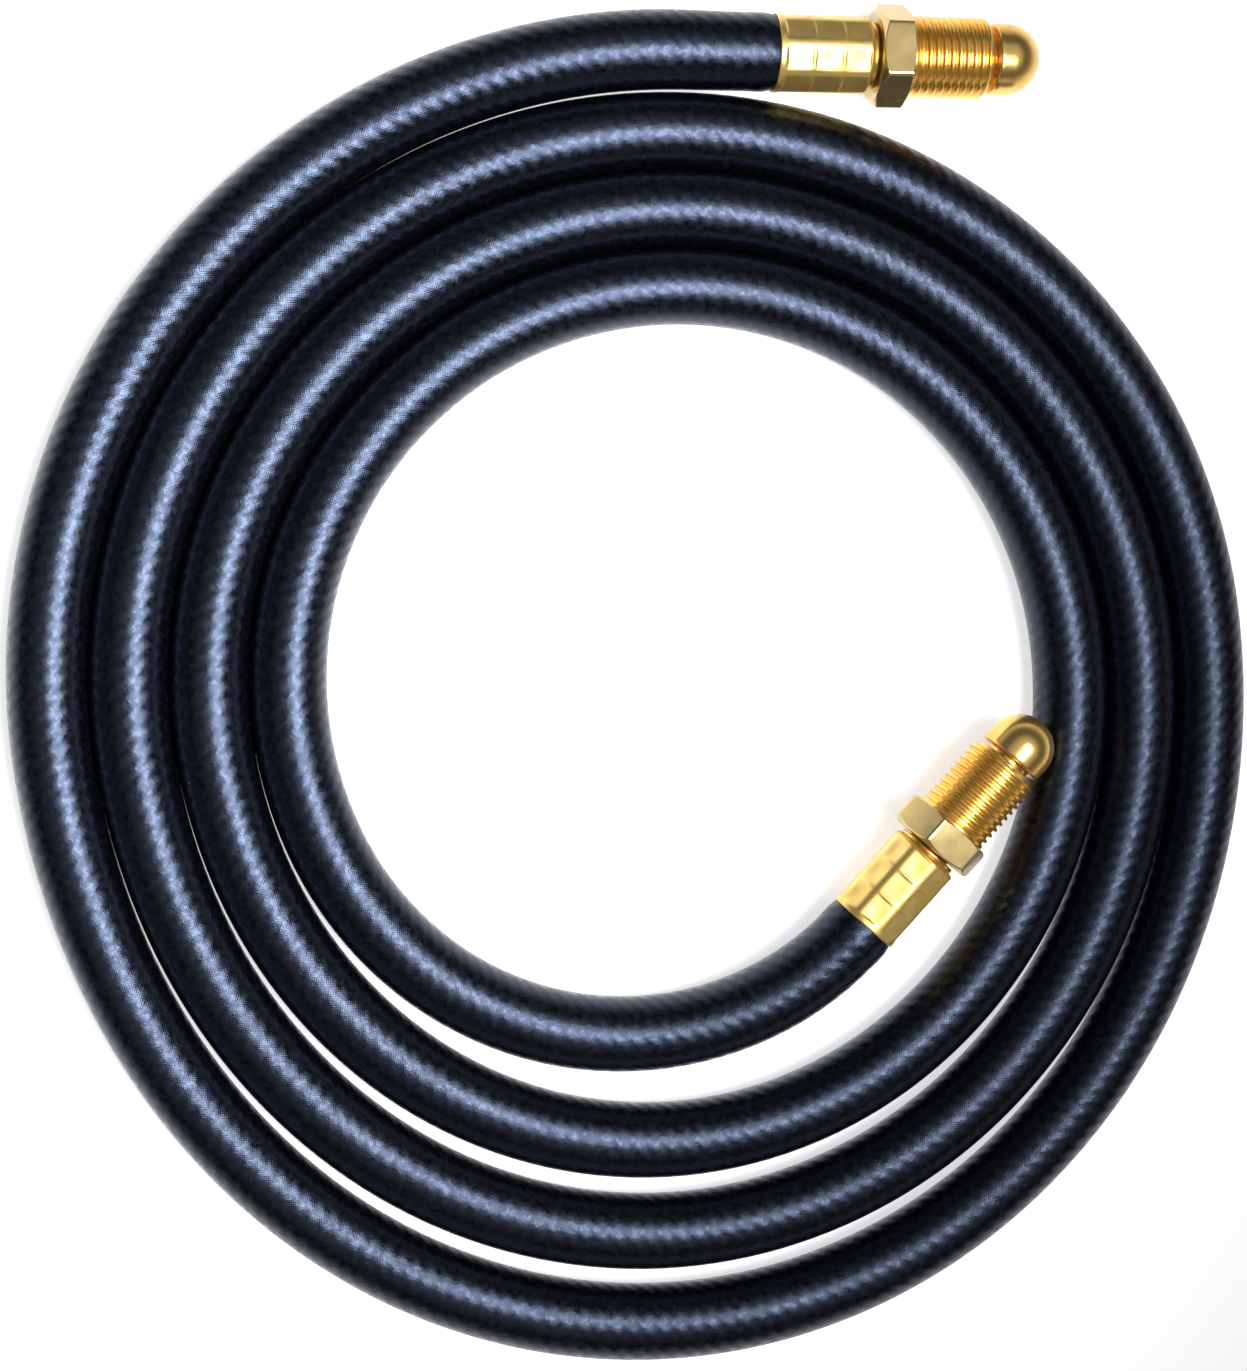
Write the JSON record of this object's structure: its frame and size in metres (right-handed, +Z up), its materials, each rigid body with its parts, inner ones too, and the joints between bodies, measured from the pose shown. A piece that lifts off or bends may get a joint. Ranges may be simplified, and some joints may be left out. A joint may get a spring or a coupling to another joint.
{
  "type": "gas hose",
  "caption": "Flat-coiled rubber gas hose with crimped brass ferrules, bullet-nosed nipples and male union nuts that turn.",
  "frame": {"origin": "centre of the footprint, on the floor that the coil lies on", "axes": "+Z up; +X along the outer fitting, from its ferrule towards its nose; +Y from the coil's centre towards the outer fitting"},
  "size_m": [0.2284, 0.2492, 0.0196],
  "materials": {
    "cover_rubber": "black rubber with a fine cloth imprint and a soft satin sheen",
    "braid_yarn": "undyed textile yarn",
    "liner_rubber": "smooth black rubber",
    "ferrule_brass": "bright polished brass with pressed crimp marks",
    "nut_brass": "satin flats and a bright turned thread",
    "nipple_brass": "fine turned brass"
  },
  "bodies": {
    "root": {"hose_cover": "cover_rubber", "hose_braid": "braid_yarn", "hose_liner": "liner_rubber", "outer_ferrule": "ferrule_brass", "outer_nipple": "nipple_brass", "inner_ferrule": "ferrule_brass", "inner_nipple": "nipple_brass"},
    "outer_nut": {"outer_nut": "nut_brass"},
    "inner_nut": {"inner_nut": "nut_brass"}
  },
  "joints": [
    {"name": "outer_nut_spin", "type": "hinge", "parent": "root", "child": "outer_nut", "pos_m": [0.04238, 0.11535, 0.00944], "axis": [0.9999, 0.0115, 0], "continuous": true},
    {"name": "inner_nut_spin", "type": "hinge", "parent": "root", "child": "inner_nut", "pos_m": [0.05315, -0.02738, 0.01113], "axis": [0.6608, 0.7465, 0.0785], "continuous": true}
  ]
}
